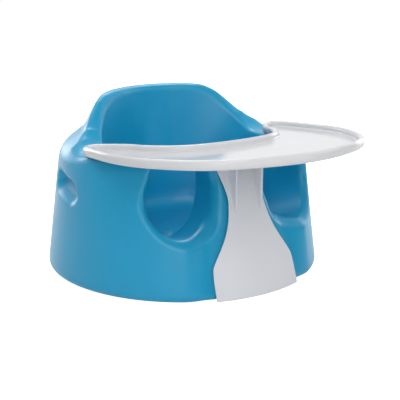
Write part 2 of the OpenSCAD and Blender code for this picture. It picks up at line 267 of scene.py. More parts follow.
@dataclass(frozen=True)
class TraySizes:
    """Sizes of the tray, its stem and its screws, in millimetres."""

    w: float = 344.0
    front: float = 281.0
    tip: float = 6.5
    cut_w: float = 225.0
    cut_y: float = 123.5
    rim_h: float = 12.0
    rim_w: float = 9.0
    rim_t: float = 2.5
    pan_t: float = 3.0
    pan_lift: float = 1.5
    gap: float = 0.5
    stem_t: float = 3.2
    stem_skin: float = 1.5
    waist_w: float = 27.0
    top_w: float = 39.0
    gusset_x: float = 20.0
    gusset_t: float = 3.0
    gusset_z: float = 104.0
    flange_reach: float = 14.0
    screw_d: float = 3.5
    screw_head_d: float = 7.0
    screw_head_h: float = 2.4
    screw_l: float = 9.0
    boss_d: float = 9.0
    boss_h: float = 8.0
    screw_near: float = 9.0
    screw_far: float = 31.0
    screw_out: float = 15.0
    hole_gap: float = 0.3
    thread_gap: float = 0.05

    @property
    def flange_low(self) -> float:
        """Height of the flange's underside over the tray's own plane."""
        return self.pan_lift - self.boss_h - self.gusset_t

    @property
    def screw_places(self) -> list[float]:
        """Places of the four screws across."""
        return [side * x for side in (-1, 1) for x in (self.screw_near, self.screw_far)]

    def half_knots(self) -> Array:
        """Knots of half the outline, from the front over the wing to the middle of the cut-out."""
        w, f, b, c, d = self.w / 2, self.front, -self.tip, self.cut_w / 2, self.cut_y
        return np.array([
            (0, -f), (0.384 * w, 13.5 - f), (0.709 * w, 46 - f), (0.919 * w, 105 - f), (w, 164 - f),
            (0.988 * w, b - 47), (0.968 * w, b - 20), (0.927 * w, b - 5.5), (0.86 * w, b),
            (0.794 * w, b - 4), (0.724 * w, b - 16), (c, b - 32), (0.933 * c, b - 47),
            (0.876 * c, 50 - d), (0.729 * c, 26 - d), (0.516 * c, 9 - d), (0.249 * c, 2 - d), (0, -d)])

    def outline(self, steps: int) -> Array:
        """The closed outline, counter-clockwise from above, with steps points to a knot."""
        half = self.half_knots()
        return closed_spline(np.vstack([half, half[-2:0:-1] * (-1, 1)]), steps)


class RestPlane:
    """The sloping plane of the arms' tops, on which the tray is laid out."""

    def __init__(self, seat: SeatSizes) -> None:
        """Keeps the plane's height and slope."""
        self.z = seat.arm_z
        self.c = math.cos(math.radians(seat.tray_tilt))
        self.s = math.sin(math.radians(seat.tray_tilt))

    def place(self, pts: Array, lift: float = 0.0) -> Array:
        """Points of the plane's own frame, lifted off it, in the seat's frame."""
        x, y, h = pts[:, 0], pts[:, 1], pts[:, 2] + lift
        return np.stack([x, y * self.c + h * self.s, self.z - y * self.s + h * self.c], 1)

    def matrix(self, lift: float) -> Matrix:
        """The plane's own frame as a matrix in metres."""
        tilt = -math.atan2(self.s, self.c)
        return (Matrix.Translation((0, 0, self.z * MM)) @ Matrix.Rotation(tilt, 4, "X")
                @ Matrix.Translation((0, 0, lift * MM)))


# ---- Seat field ----


class SeatField:
    """The foam moulding as a field: negative inside the foam, about the distance to its skin."""

    def __init__(self, s: SeatSizes) -> None:
        """Tabulates the section at each half degree from straight ahead to straight behind.

        Args:
            s: The seat's sizes.
        """
        self.s = s
        self.face_r0 = s.foot_r - s.face_in - s.face_relief
        self.face_full = math.degrees(math.asin(s.stem_foot_w / (self.face_r0 - s.face_lean * 20)))
        self.shoulder_r = s.wall_r(s.shoulder_z)
        run = self.shoulder_r - s.crest_r - s.back_lean * s.seat_h
        self.hollow_z = (s.shoulder_z + s.ledge_rise * run) / (1 - s.ledge_rise * s.back_lean)
        self.step = 0.5
        self.sections = self._sections(np.arange(0.0, 180.0 + self.step, self.step))
        self.leg_outline = self._leg_outline()

    def drop_z(self, y: Number) -> Number:
        """Height of the rim, which falls from the crest to the arms."""
        s = self.s
        fallen = fade(y, -s.drop_front, s.drop_back + s.drop_front)
        return mix(s.rest_z(y), s.seat_h, fallen**s.drop_power)

    def flank_r(self, z: Number) -> Number:
        """Radius of the backrest's outside at a height."""
        return self.s.crest_r + self.s.back_lean * (self.s.seat_h - z)

    def outside_h(self, r: Number) -> Number:
        """Height of the ledge or of the backrest's outside over a radius, whichever is higher."""
        s = self.s
        ledge = s.shoulder_z + s.ledge_rise * (self.shoulder_r - r)
        return np.maximum(ledge, s.seat_h - (r - s.crest_r) / s.back_lean)

    def face_share(self, phi: Number) -> Number:
        """Share of the pommel's face in the outside at an angle."""
        return 1 - fade(np.abs(phi), self.face_full, self.s.face_blend)

    def outer_r(self, phi: Number, z: Number) -> Number:
        """Radius of the outer wall or of the pommel's leaning face at an angle and a height."""
        a, back = np.radians(phi), self.s.face_lean * z
        face = np.sqrt(self.face_r0**2 - (back * np.sin(a)) ** 2) - back * np.cos(a)
        return mix(self.s.wall_r(z), face, self.face_share(phi))

    def rim_r(self, phi: Array) -> Array:
        """Inner radius of the rim at an angle from straight ahead."""
        s = self.s
        front = mix(s.pommel_in_r, s.bucket_r, fade(phi, *s.rim_front))
        return mix(front, s.back_in_r, fade(phi, *s.rim_back))

    def _sections(self, phi: Array) -> Array:
        """Sections of the shell at angles, from the foot over the rim to the bucket's floor.

        Args:
            phi: Angles from straight ahead, in degrees.

        Returns:
            Angles by points by (radius, height).
        """
        s, c, p = self.s, -np.cos(np.radians(phi)), self.face_share(phi)
        rim = self.rim_r(phi)
        crest = self.drop_z(s.bucket_r * c)
        raised = fade(crest, s.rest_z(s.bucket_r * c), s.crest_span)
        flanks = (self.flank_r(z) for z in (self.hollow_z, np.maximum(crest, self.hollow_z)))
        tops = [mix(mix(arm, pommel, p), flank, raised)
                for arm, pommel, flank in zip(s.arm_top_r, s.pommel_top_r, flanks)]
        drop = s.pommel_drop * p
        shoulder = mix(s.shoulder_z, s.rest_z(self.shoulder_r * c), ease(-c / s.arm_share)) - drop
        o = np.zeros_like(phi)
        v = [np.stack(q, 1) for q in [
            (o + s.core_r, o), (self.outer_r(phi, o), o), (self.outer_r(phi, shoulder), shoulder),
            *((r, np.minimum(self.outside_h(r), self.drop_z(r * c)) - drop) for r in tops),
            (rim, self.drop_z(rim * c) - drop),
            (np.minimum(s.floor_r, rim - 8), o + s.floor_z), (o + s.core_r, o + s.floor_z)]]
        crested = fade(v[4][:, 1], self.hollow_z, s.crest_blend)
        rim_trims = (mix(a, b, crested) for a, b in zip(s.arm_trims, s.crest_trims))
        out = [v[0][:, None]]
        for i, trim in enumerate((s.foot_round, s.shoulder_round, *rim_trims, s.floor_round), 1):
            out.append(rounded_corner(v[i - 1], v[i], v[i + 1], trim))
            if i == 1:
                out += [np.stack([self.outer_r(phi, z), z], 1)[:, None]
                        for z in (shoulder * k / 9 for k in range(1, 9))]
        return np.concatenate(out + [v[7][:, None]], 1)

    def shell(self, x: Array, y: Array, z: Array) -> Array:
        """Field of the plain shell at points given as rows (x, y) by columns z."""
        phi = np.degrees(np.arctan2(np.abs(x), -y))
        k = np.clip(phi / self.step, 0, len(self.sections) - 1.001)
        i = k.astype(int)
        t = (k - i)[:, None, None]
        poly = self.sections[i] * (1 - t) + self.sections[i + 1] * t
        r = np.broadcast_to(np.hypot(x, y)[:, None], z.shape)
        return polygon_distance(r, z, poly)

    def _leg_outline(self) -> Array:
        """Outline of a leg opening across and up: round below, drawn in to the slot above."""
        s = self.s
        turns = np.radians(np.linspace(165, 375, 36))
        arc = [(s.leg_r * math.cos(a), s.leg_z + s.leg_r * math.sin(a)) for a in turns]
        out, up = s.slot_flare
        sides = [(s.leg_slot, s.arm_z), (s.leg_slot + out, s.arm_z + up), (s.leg_slot + out, 300)]
        return np.array([(-x, z) for x, z in sides[::-1]] + arc + sides)[None]

    def leg_way(self, at: Array) -> Array:
        """Field of a leg opening and its way into the bucket.

        Args:
            at: The points' coordinates, three rows, with x >= 0.

        Returns:
            A value for each point, negative in the open.
        """
        x, y, z = at
        s = self.s
        u = t = np.zeros_like(x)
        for _ in range(6):
            phi = s.leg_angle + np.degrees(u / s.way_r)
            r, a = self.outer_r(phi, np.minimum(z, s.arm_z)) - s.leg_bevel, np.radians(phi)
            t = np.clip((y + r * np.cos(a)) / (s.way_y[0] + r * np.cos(a)), -0.5, 1.0)
            there = mix(r * np.sin(a), s.way_x[0] + s.way_share[0] * u, t)
            slope = mix(r / s.way_r * np.cos(a), s.way_share[0], t)
            u = np.clip(u + (x - there) / np.maximum(slope, 0.3), -140, 140)
        deep = np.clip((y - s.way_y[0]) / (s.way_y[1] - s.way_y[0]), 0, 1.4)
        u = np.where(deep > 0, (x - mix(*s.way_x, deep)) / mix(*s.way_share, deep), u)
        fall = s.leg_fall * (np.clip(t, 0, 1) + 0.9 * deep)
        zz = np.where(z < s.leg_z, (z + fall * s.leg_z / s.leg_r) / (1 + fall / s.leg_r), z)
        across = polygon_distance(u[:, None], zz[:, None], self.leg_outline)[:, 0]
        return np.maximum(across * (1 - 0.15 * np.clip(t, 0, 1)), y - s.way_end)

    def grip(self, at: Array) -> Array:
        """Field of a finger grip at three rows of coordinates, with x >= 0."""
        s = self.s
        r = s.wall_r(s.grip_z) - s.grip_depth + s.grip_r
        turns = (math.radians(s.grip_angle) + k * s.grip_l / s.foot_r for k in (0, 1))
        a, b = (np.array([r * math.sin(q), -r * math.cos(q), s.grip_z + k * s.grip_rise])
                for k, q in enumerate(turns))
        p, d = at.T - a, b - a
        t = np.clip(p @ d / (d @ d), 0, 1)[:, None]
        return np.linalg.norm(p - d * t, axis=1) - s.grip_r

    def toe_pocket(self, at: Array) -> Array:
        """Field of the pocket under the foot that the stem's toe slides out of."""
        x, y, z = at
        s = self.s
        back = s.toe_l - s.foot_r + s.stem_gap
        top = s.toe_t + s.stem_gap + s.rise * np.maximum(0, back - y)
        return np.maximum.reduce([x - s.toe_w - s.toe_gap, y - back, z - top])

    def cut(self, f: Array, x: Array, y: Array, z: Array) -> Array:
        """Cuts the openings into the shell's field f at flat arrays of points."""
        out, at = f.copy(), np.stack([np.abs(x), y, z])
        cuts = [
            # Each opening, how it is joined, and the points near it.
            (self.leg_way, self.bevelled, (at[0] < 180) & (y < -25) & (z > 50)),
            (self.grip, self.scooped, (at[0] > 120) & (np.abs(y - 20) < 80) & (np.abs(z - 120) < 50)),
            (self.toe_pocket, self.eased, (at[0] < 80) & (y < -140) & (z < 24))]
        for hole_at, join, near in cuts:
            k = np.nonzero(near)[0]
            for part in np.array_split(k, len(k) // BATCH + 1):
                out[part] = join(out[part], -hole_at(at[:, part]), at[:, part])
        return out

    def bevelled(self, f: Array, hole: Array, at: Array) -> Array:
        """Cuts a leg opening with a bevel, broader towards the pommel, where it turns into a round.

        Args:
            f: The shell's field at the points.
            hole: The opening's field turned inside out.
            at: The points' coordinates, three rows.

        Returns:
            The field with the opening cut.
        """
        s = self.s
        off = s.leg_angle - np.degrees(np.arctan2(at[0], -at[1]))
        outside = fade(np.hypot(at[0], at[1]), *s.throat)
        side = fade(off, -s.bevel_turn, 2 * s.bevel_turn)
        width = mix(s.bevel_throat, mix(s.bevel_out, s.bevel_in, side), outside)
        bevel = round_intersection(f, (f + hole + width) / math.sqrt(2), 2.0)
        sharp = round_intersection(bevel, hole, mix(s.throat_round, s.mouth_round, outside))
        soft = round_intersection(f, hole, s.pommel_round)
        return mix(sharp, soft, outside * fade(off, *s.pommel_turn) * fade(at[2], *s.pommel_rise))

    def scooped(self, f: Array, hole: Array, at: Array) -> Array:
        """Cuts a grip with a crisp upper lip and a lower side that runs out into the wall."""
        s = self.s
        middle = s.grip_z + s.grip_rise * np.clip(at[1] / s.grip_l, 0, 1)
        return round_intersection(f, hole, mix(s.grip_lip, s.grip_fade, fade(middle - at[2], -3, 9)))

    def eased(self, f: Array, hole: Array, _at: Array) -> Array:
        """Cuts a small opening with a slightly rounded edge."""
        return round_intersection(f, hole, self.s.edge_round)

    def at(self, pts: Array) -> Array:
        """The whole field at points, one row of three numbers each."""
        out = np.empty(len(pts))
        for part in np.array_split(np.arange(len(pts)), len(pts) // BATCH + 1):
            x, y, z = pts[part].T
            out[part] = self.cut(self.shell(x, y, z[:, None])[:, 0], x, y, z)
        return out


class FieldMesher:
    """Turns a field that is the same on both sides of x = 0 into an even mesh of quads."""

    REACH, TOP = 196, 242  # half the grid's width, and its height, in millimetres
    OFFSET = 0.31  # share of a cell by which the levels miss the flat underside
    COLUMNS = 160  # upright columns worked out at once

    def __init__(self, source: SeatField, pitch: float) -> None:
        """Samples the field on a grid.

        Args:
            source: The field.
            pitch: Size of a grid cell in millimetres.
        """
        self.source, self.h = source, pitch
        n = math.ceil(self.REACH / pitch)
        self.x = np.arange(0, n + 1) * pitch
        self.y = np.arange(-n, n + 1) * pitch
        self.z = (np.arange(-2, math.ceil(self.TOP / pitch)) + self.OFFSET) * pitch
        nx, ny, nz = len(self.x), len(self.y), len(self.z)
        gx, gy = (g.ravel() for g in np.meshgrid(self.x, self.y, indexing="ij"))
        f = np.empty((nx * ny, nz))
        for part in np.array_split(np.arange(nx * ny), nx * ny // self.COLUMNS):
            f[part] = source.shell(gx[part], gy[part], np.broadcast_to(self.z, (len(part), nz)))
        full = [g.ravel() for g in np.broadcast_arrays(gx[:, None], gy[:, None], self.z[None, :])]
        half = source.cut(f.ravel(), *full).reshape(nx, ny, nz)
        self.f = np.concatenate([half[:0:-1], half], 0)
        self.origin = np.array([-self.x[-1], self.y[0], self.z[0]])

    def net(self) -> tuple[Array, Array]:
        """Vertices in millimetres and quads of the surface, facing outwards."""
        f = self.f
        inside = f < 0
        total = np.zeros((*(k - 1 for k in f.shape), 3))
        count = np.zeros(total.shape[:3])
        side = slice(0, -1), slice(1, None)
        for axis, i, j in np.ndindex(3, 2, 2):
            others = [a for a in range(3) if a != axis]
            lo = [side[0]] * 3
            lo[others[0]], lo[others[1]] = side[i], side[j]
            hi = [side[1] if a == axis else lo[a] for a in range(3)]
            a, b = f[tuple(lo)], f[tuple(hi)]
            crossed = (a < 0) != (b < 0)
            total[..., axis] += np.where(crossed, a / np.where(crossed, a - b, 1), 0)
            total[..., others[0]] += crossed * i
            total[..., others[1]] += crossed * j
            count += crossed
        active = count > 0
        number = np.full(active.shape, -1)
        number[active] = np.arange(active.sum())
        base = np.stack(np.nonzero(active), 1)
        verts = self.origin + (base + total[active] / count[active][:, None]) * self.h
        quads = []
        for axis in range(3):
            others = [(axis + 1) % 3, (axis + 2) % 3]
            lo = [slice(0, -1) if a == axis else slice(1, -1) for a in range(3)]
            hi = [slice(1, None) if a == axis else slice(1, -1) for a in range(3)]
            a, b = inside[tuple(lo)], inside[tuple(hi)]
            where = np.stack(np.nonzero(a != b), 1)
            start = a[tuple(where.T)]
            ring = []
            for shift in ((0, 0), (1, 0), (1, 1), (0, 1)):
                q = where.copy()
                q[:, others] += shift
                ring.append(number[tuple(q.T)])
            ring = np.stack(ring, 1)
            ring[~start] = ring[~start][:, ::-1]
            quads.append(ring)
        return verts, np.concatenate(quads)

    def slope(self, pts: Array) -> Array:
        """Gradient of the sampled field at points, between the grid's samples."""
        g = (pts - self.origin) / self.h
        i = np.clip(np.floor(g).astype(int), 1, np.array(self.f.shape) - 3)
        t = np.clip(g - i, 0, 1)
        out = np.zeros_like(pts)
        for axis in range(3):
            step = np.eye(3, dtype=int)[axis]
            for c in np.ndindex(2, 2, 2):
                k = i + c
                w = np.prod(np.where(np.array(c) == 1, t, 1 - t), axis=1)
                up, down = k + step, k - step
                out[:, axis] += w * (self.f[tuple(up.T)] - self.f[tuple(down.T)]) / (2 * self.h)
        return out

    def settle(self, verts: Array, quads: Array, rounds: int) -> Array:
        """Evens the mesh out and puts it on the surface.

        Args:
            verts: Vertices in millimetres.
            quads: Faces, for the neighbours of each vertex.
            rounds: Number of rounds of evening out.

        Returns:
            The moved vertices.
        """
        a, b, count = quads.ravel(), np.roll(quads, -1, 1).ravel(), len(verts)
        here, there = np.concatenate([a, b]), np.concatenate([b, a])
        number = np.bincount(here, minlength=count)
        for r in range(rounds + 1):
            if r:
                total = np.stack([np.bincount(here, verts[there, k], count) for k in range(3)], 1)
                pull = total / number[:, None] - verts
                g = self.slope(verts)
                n = g / np.maximum(np.linalg.norm(g, axis=1), 1e-6)[:, None]
                verts = verts + 0.5 * (pull - n * np.sum(pull * n, 1)[:, None])
            for _ in range(2 if r in (0, rounds) else 1):
                g = self.slope(verts)
                move = (self.source.at(verts) / np.maximum(np.sum(g * g, 1), 0.15))[:, None] * g
                size = np.maximum(np.linalg.norm(move, axis=1), 1e-9)[:, None]
                verts = verts - move * np.minimum(1, self.h / size)
        return verts


# ---- Blender helpers ----


class Body(str, Enum):
    """The frame's moving bodies."""

    SEAT = "seat"
    TRAY = "tray"


class Slot(str, Enum):
    """The record's material slots."""

    FOAM = "seat_foam"
    TRAY = "tray_plastic"
    STEM = "stem_plastic"
    STEEL = "screw_steel"


def linked(name: str, data: bpy.types.ID) -> Object:
    """A new object with the given data, linked to the scene."""
    obj = bpy.data.objects.new(name, data)
    bpy.context.scene.collection.objects.link(obj)
    return obj


def new_object(name: str, verts: Array, faces: list) -> Object:
    """A smooth-shaded mesh object from vertices in millimetres, linked to the scene."""
    mesh = bpy.data.meshes.new(name)
    mesh.from_pydata((np.asarray(verts) * MM).tolist(), [], [list(map(int, f)) for f in faces])
    mesh.validate()
    mesh.shade_smooth()
    return linked(name, mesh)


def applied(obj: Object) -> Object:
    """Makes the object's modifiers part of its mesh and removes them."""
    dg = bpy.context.evaluated_depsgraph_get()
    mesh = bpy.data.meshes.new_from_object(obj.evaluated_get(dg))
    obj.modifiers.clear()
    obj.data = mesh
    return obj


def carved(obj: Object, cutters: bmesh.types.BMesh, crossing: bool = False) -> Object:
    """Cuts closed shapes out of an object.

    Args:
        obj: The object.
        cutters: The shapes, in metres; they are freed.
        crossing: Whether the shapes cross each other.

    Returns:
        The same object.
    """
    mesh = bpy.data.meshes.new("cutters")
    cutters.to_mesh(mesh)
    cutters.free()
    tool = linked("cutters", mesh)
    cut = obj.modifiers.new("cut", "BOOLEAN")
    cut.object, cut.operation, cut.solver, cut.use_self = tool, "DIFFERENCE", "EXACT", crossing
    applied(obj)
    bpy.data.objects.remove(tool)
    return obj


def join_meshes(obj: Object, others: list[Object]) -> None:
    """Adds the meshes of others to obj's mesh and removes them."""
    bm = bmesh.new()
    bm.from_mesh(obj.data)
    for o in others:
        bm.from_mesh(o.data)
        bpy.data.objects.remove(o)
    bm.to_mesh(obj.data)
    bm.free()


def outwards(obj: Object) -> Object:
    """Merges doubles and turns the faces outwards."""
    bm = bmesh.new()
    bm.from_mesh(obj.data)
    bmesh.ops.remove_doubles(bm, verts=bm.verts, dist=1e-6)
    bmesh.ops.recalc_face_normals(bm, faces=bm.faces)
    bm.to_mesh(obj.data)
    bm.free()
    return obj


def ring_faces(n: int, m: int) -> list[tuple[int, ...]]:
    """Quads between m closed rings of n points."""
    return [(i * n + j, i * n + (j + 1) % n, (i + 1) * n + (j + 1) % n, (i + 1) * n + j)
            for i in range(m - 1) for j in range(n)]


def flat_rings(outline: Array, rows: list[Pair]) -> list[Array]:
    """A flat outline once for each row (inset, height)."""
    return [np.column_stack([inset(outline, d), np.full(len(outline), z)]) for d, z in rows]


def turned_rings(rows: list[Pair], x: float = 0.0, y: float = 0.0) -> list[Array]:
    """A circle about the upright axis at x and y for each row (radius, height)."""
    turn = np.linspace(0, 2 * math.pi, ROUND_STEPS, endpoint=False)
    return [np.column_stack([x + r * np.cos(turn), y + r * np.sin(turn), np.full(ROUND_STEPS, z)])
            for r, z in rows]


def capped(name: str, rings: list[Array]) -> Object:
    """A solid between closed rings of as many points, capped at both ends."""
    n, m = len(rings[0]), len(rings)
    caps = [tuple(range(n)), tuple(range((m - 1) * n, m * n))]
    return outwards(new_object(name, np.vstack(rings), ring_faces(n, m) + caps))


# ---- Materials ----


class Nodes:
    """A small hand for building a node tree."""

    def __init__(self, tree: Tree) -> None:
        """Keeps the tree."""
        self.tree = tree

    @classmethod
    def fresh(cls, owner: Material | bpy.types.World) -> "Nodes":
        """A hand for the emptied tree of a material or a world."""
        owner.use_nodes = True
        owner.node_tree.nodes.clear()
        return cls(owner.node_tree)

    def add(self, kind: str, inputs: dict | None = None, **settings) -> bpy.types.Node:
        """Adds a node, sets its properties and its inputs, and links inputs given as sockets."""
        node = self.tree.nodes.new(kind)
        for k, v in settings.items():
            setattr(node, k, v)
        for k, v in (inputs or {}).items():
            if isinstance(v, Socket):
                self.tree.links.new(v, node.inputs[k])
            else:
                node.inputs[k].default_value = v
        return node

    def out(self, kind: str, inputs: dict | None = None, **settings) -> Socket:
        """Adds a node and returns its first output."""
        return self.add(kind, inputs, **settings).outputs[0]

    def math(self, operation: str, *values) -> Socket:
        """A Math node's result."""
        return self.out("ShaderNodeMath", dict(enumerate(values)), operation=operation)

    def sockets(self, in_out: str, kind: str, names: dict | tuple) -> None:
        """Gives the tree named inputs or outputs, with values where names is a dict."""
        for name in names:
            socket = self.tree.interface.new_socket(name, in_out=in_out, socket_type="NodeSocket" + kind)
            if isinstance(names, dict):
                socket.default_value = names[name]


def moulded_skin_group() -> Tree:
    """Shader group of a moulded skin: fine grain, slow waves and a faint mottling of the tone."""
    n = Nodes(bpy.data.node_groups.new("moulded_skin", "ShaderNodeTree"))
    n.sockets("INPUT", "Vector", ("Vector",))
    n.sockets("INPUT", "Float", {"Grain Scale": 900.0, "Grain Height": 0.3, "Wave Scale": 22.0,
                                 "Wave Height": 1.0, "Mottle Scale": 30.0})
    n.sockets("OUTPUT", "Float", ("Height", "Mottle"))
    i = n.add("NodeGroupInput").outputs
    grain, wave, mottle = (
        n.out("ShaderNodeTexNoise", {"Vector": i["Vector"], "Scale": i[name + " Scale"], "Detail": detail,
                                     "Roughness": rough})
        for name, detail, rough in (("Grain", 3.0, 0.6), ("Wave", 1.5, 0.4), ("Mottle", 4.0, 0.55)))
    height = n.math("MULTIPLY_ADD", grain, i["Grain Height"], n.math("MULTIPLY", wave, i["Wave Height"]))
    n.add("NodeGroupOutput", {"Height": height, "Mottle": mottle})
    return n.tree


@dataclass(frozen=True)
class Finish:
    """A moulded surface: its two tones, its gloss, and its relief in metres and per metre."""

    name: str
    colour: Triple
    other: Triple
    rough: Pair
    grain_scale: float
    grain_height: float
    wave_scale: float
    wave_height: float
    bump: float
    bump_distance: float
    metallic: float = 0.0
    specular: float = 0.5

    def material(self, skin: Tree) -> Material:
        """Builds the finish as a node material.

        Args:
            skin: The shared shader group of a moulded skin.

        Returns:
            The material.
        """
        mat = bpy.data.materials.new(self.name)
        n = Nodes.fresh(mat)
        g = n.add("ShaderNodeGroup", node_tree=skin)
        n.tree.links.new(n.add("ShaderNodeTexCoord").outputs["Object"], g.inputs["Vector"])
        for k in ("Grain Scale", "Grain Height", "Wave Scale", "Wave Height"):
            g.inputs[k].default_value = getattr(self, k.lower().replace(" ", "_"))
        mottle = g.outputs["Mottle"]
        tone = n.add("ShaderNodeMix", {0: mottle, 6: (*self.colour, 1.0), 7: (*self.other, 1.0)},
                     data_type="RGBA").outputs[2]
        rough = n.out("ShaderNodeMapRange", {"Value": mottle, "From Min": 0.3, "From Max": 0.7,
                                             "To Min": self.rough[0], "To Max": self.rough[1]})
        bump = n.out("ShaderNodeBump", {"Strength": self.bump, "Distance": self.bump_distance,
                                        "Height": g.outputs["Height"]})
        shader = n.out("ShaderNodeBsdfPrincipled", {
            "Base Color": tone, "Roughness": rough, "Normal": bump, "Metallic": self.metallic,
            "Specular IOR Level": self.specular})
        n.add("ShaderNodeOutputMaterial", {"Surface": shader})
        return mat


FOAM = Finish("blue_skinned_foam", (0.006, 0.302, 0.532), (0.01, 0.348, 0.6), (0.3, 0.38),
              1100.0, 0.35, 26.0, 1.0, bump=0.4, bump_distance=0.0004, specular=0.42)
TRAY_GLOSS = Finish("white_gloss_tray", (0.667, 0.678, 0.695), (0.695, 0.7, 0.718), (0.08, 0.13),
                    900.0, 0.15, 18.0, 0.8, bump=0.06, bump_distance=0.0003, specular=0.28)
STEM_SATIN = Finish("white_satin_stem", (0.715, 0.73, 0.765), (0.75, 0.765, 0.8), (0.36, 0.46),
                    1300.0, 0.4, 30.0, 0.6, bump=0.18, bump_distance=0.0003)
STEEL = Finish("zinc_plated_steel", (0.6, 0.6, 0.62), (0.5, 0.5, 0.53), (0.25, 0.4),
               1500.0, 0.5, 200.0, 0.5, bump=0.1, bump_distance=0.0002, metallic=1.0)


# ---- Sub-assemblies ----


class Piece:
    """A sub-assembly that becomes one mesh, rides on one body and stands for CAD nodes."""

    body = Body.TRAY
    slot = Slot.TRAY
    nodes: tuple[str, ...] = ()
    crease: float = 180.0

    def dress(self, obj: Object, material: Material | None = None) -> None:
        """Gives the mesh its finish and creases, lets it ride on its body, and reports it.

        Args:
            obj: The piece's object.
            material: Its finish, where the mesh has none yet.
        """
        if material:
            obj.data.materials.append(material)
        obj.data.shade_smooth()
        if self.crease < 180:
            obj.data.set_sharp_from_angle(angle=math.radians(self.crease))
        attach(obj, self.body.value)
        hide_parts(*self.nodes)
        log.info("%s: %d faces, rides on %s", obj.name, len(obj.data.polygons), self.body.value)


@dataclass
class SeatShell(Piece):
    """The foam moulding: bucket, backrest, arms, pommel, leg openings and finger grips."""

    sizes: SeatSizes
    pitch: float = 2.75
    rounds: int = 3
    body = Body.SEAT
    slot = Slot.FOAM
    nodes = ("seat_body",)

    def build(self) -> Object:
        """Meshes the seat's field and returns its object."""
        mesher = FieldMesher(SeatField(self.sizes), self.pitch)
        verts, quads = mesher.net()
        return new_object("seat_shell", mesher.settle(verts, quads, self.rounds), quads)

    def dress(self, obj: Object, material: Material | None = None) -> None:
        super().dress(obj, material)


@dataclass
class TrayPart(Piece):
    """A piece that moves with the tray, laid out on the plane of the arms."""

    seat: SeatSizes
    sizes: TraySizes
    plane: RestPlane

    @property
    def row_y(self) -> float:
        """Place of the row of screws along Y on the tray's plane."""
        s = self.seat
        return -(s.foot_r - s.face_in - s.face_lean * s.arm_z) - self.sizes.screw_out


@dataclass
class PlayTray(TrayPart):
    """The tray: a rolled rim swept along its outline, the pan between, and four bosses below."""

    steps: int = 14
    pan_round: float = 2.2
    nodes = ("tray",)
    crease = 50.0

    def rim_section(self) -> list[Pair]:
        """Section of the rim inwards and up, from the pan's top over the roll to its underside."""
        t, foot = self.sizes, self.pan_round
        r, q = t.rim_w / 2, t.rim_w / 2 - t.rim_t
        z, top = t.rim_h - r, t.pan_lift + t.pan_t
        lip = [(0.1, 5.8), (0.35, 4.2), (0.8, 2.7), (1.4, 1.4), (2.0, 0.5), (2.6, 0.1), (3.2, 0),
               (3.8, 0.3), (3.7, 1.2), (3.1, 2.8), (2.7, 4.4), (t.rim_t + 0.1, 6.0)]
        rows = [(t.rim_w + foot + 0.9, top), (t.rim_w + foot, top)]
        rows += [(t.rim_w + foot * (1 - math.sin(a)), top + foot * (1 - math.cos(a)))
                 for a in np.radians([18, 36, 54, 72, 90])]
        rows += [(r + r * math.cos(a), z + r * math.sin(a)) for a in np.radians(np.arange(0, 181, 15))]
        rows += lip
        rows += [(r + q * math.cos(a), z + q * math.sin(a)) for a in np.radians(np.arange(180, -1, -30))]
        return rows + [(t.rim_w - t.rim_t, t.pan_lift + 0.8), (t.rim_w - t.rim_t + 0.8, t.pan_lift),
                       (t.rim_w + 2, t.pan_lift)]

    def build(self) -> Object:
        """Builds the rim, the pan and the bosses as one object."""
        t = self.sizes
        rings = flat_rings(t.outline(self.steps), self.rim_section())
        n, m = len(rings[0]), len(rings)
        faces = (ring_faces(n, m) + filled(rings[0][:, :2], 0, True)
                 + filled(rings[-1][:, :2], (m - 1) * n, False))
        obj = outwards(new_object("play_tray", self.plane.place(np.vstack(rings), t.gap), faces))
        join_meshes(obj, [self.boss(x) for x in t.screw_places])
        return obj

    def boss(self, x: float) -> Object:
        """A hollow boss under the pan, at a distance x from the middle."""
        t = self.sizes
        low = t.pan_lift - t.boss_h
        deep = low + t.screw_l - t.gusset_t + 0.5
        r, b = t.boss_d / 2, t.screw_d / 2 + t.thread_gap
        rows = [(r, t.pan_lift + 1.0), (r, t.pan_lift), (r, low + 0.4), (r - 0.4, low), (b + 0.3, low),
                (b, low + 0.3), (b, deep), (AXIS_R, deep)]
        return capped("boss", [self.plane.place(ring, t.gap) for ring in turned_rings(rows, x, self.row_y)])


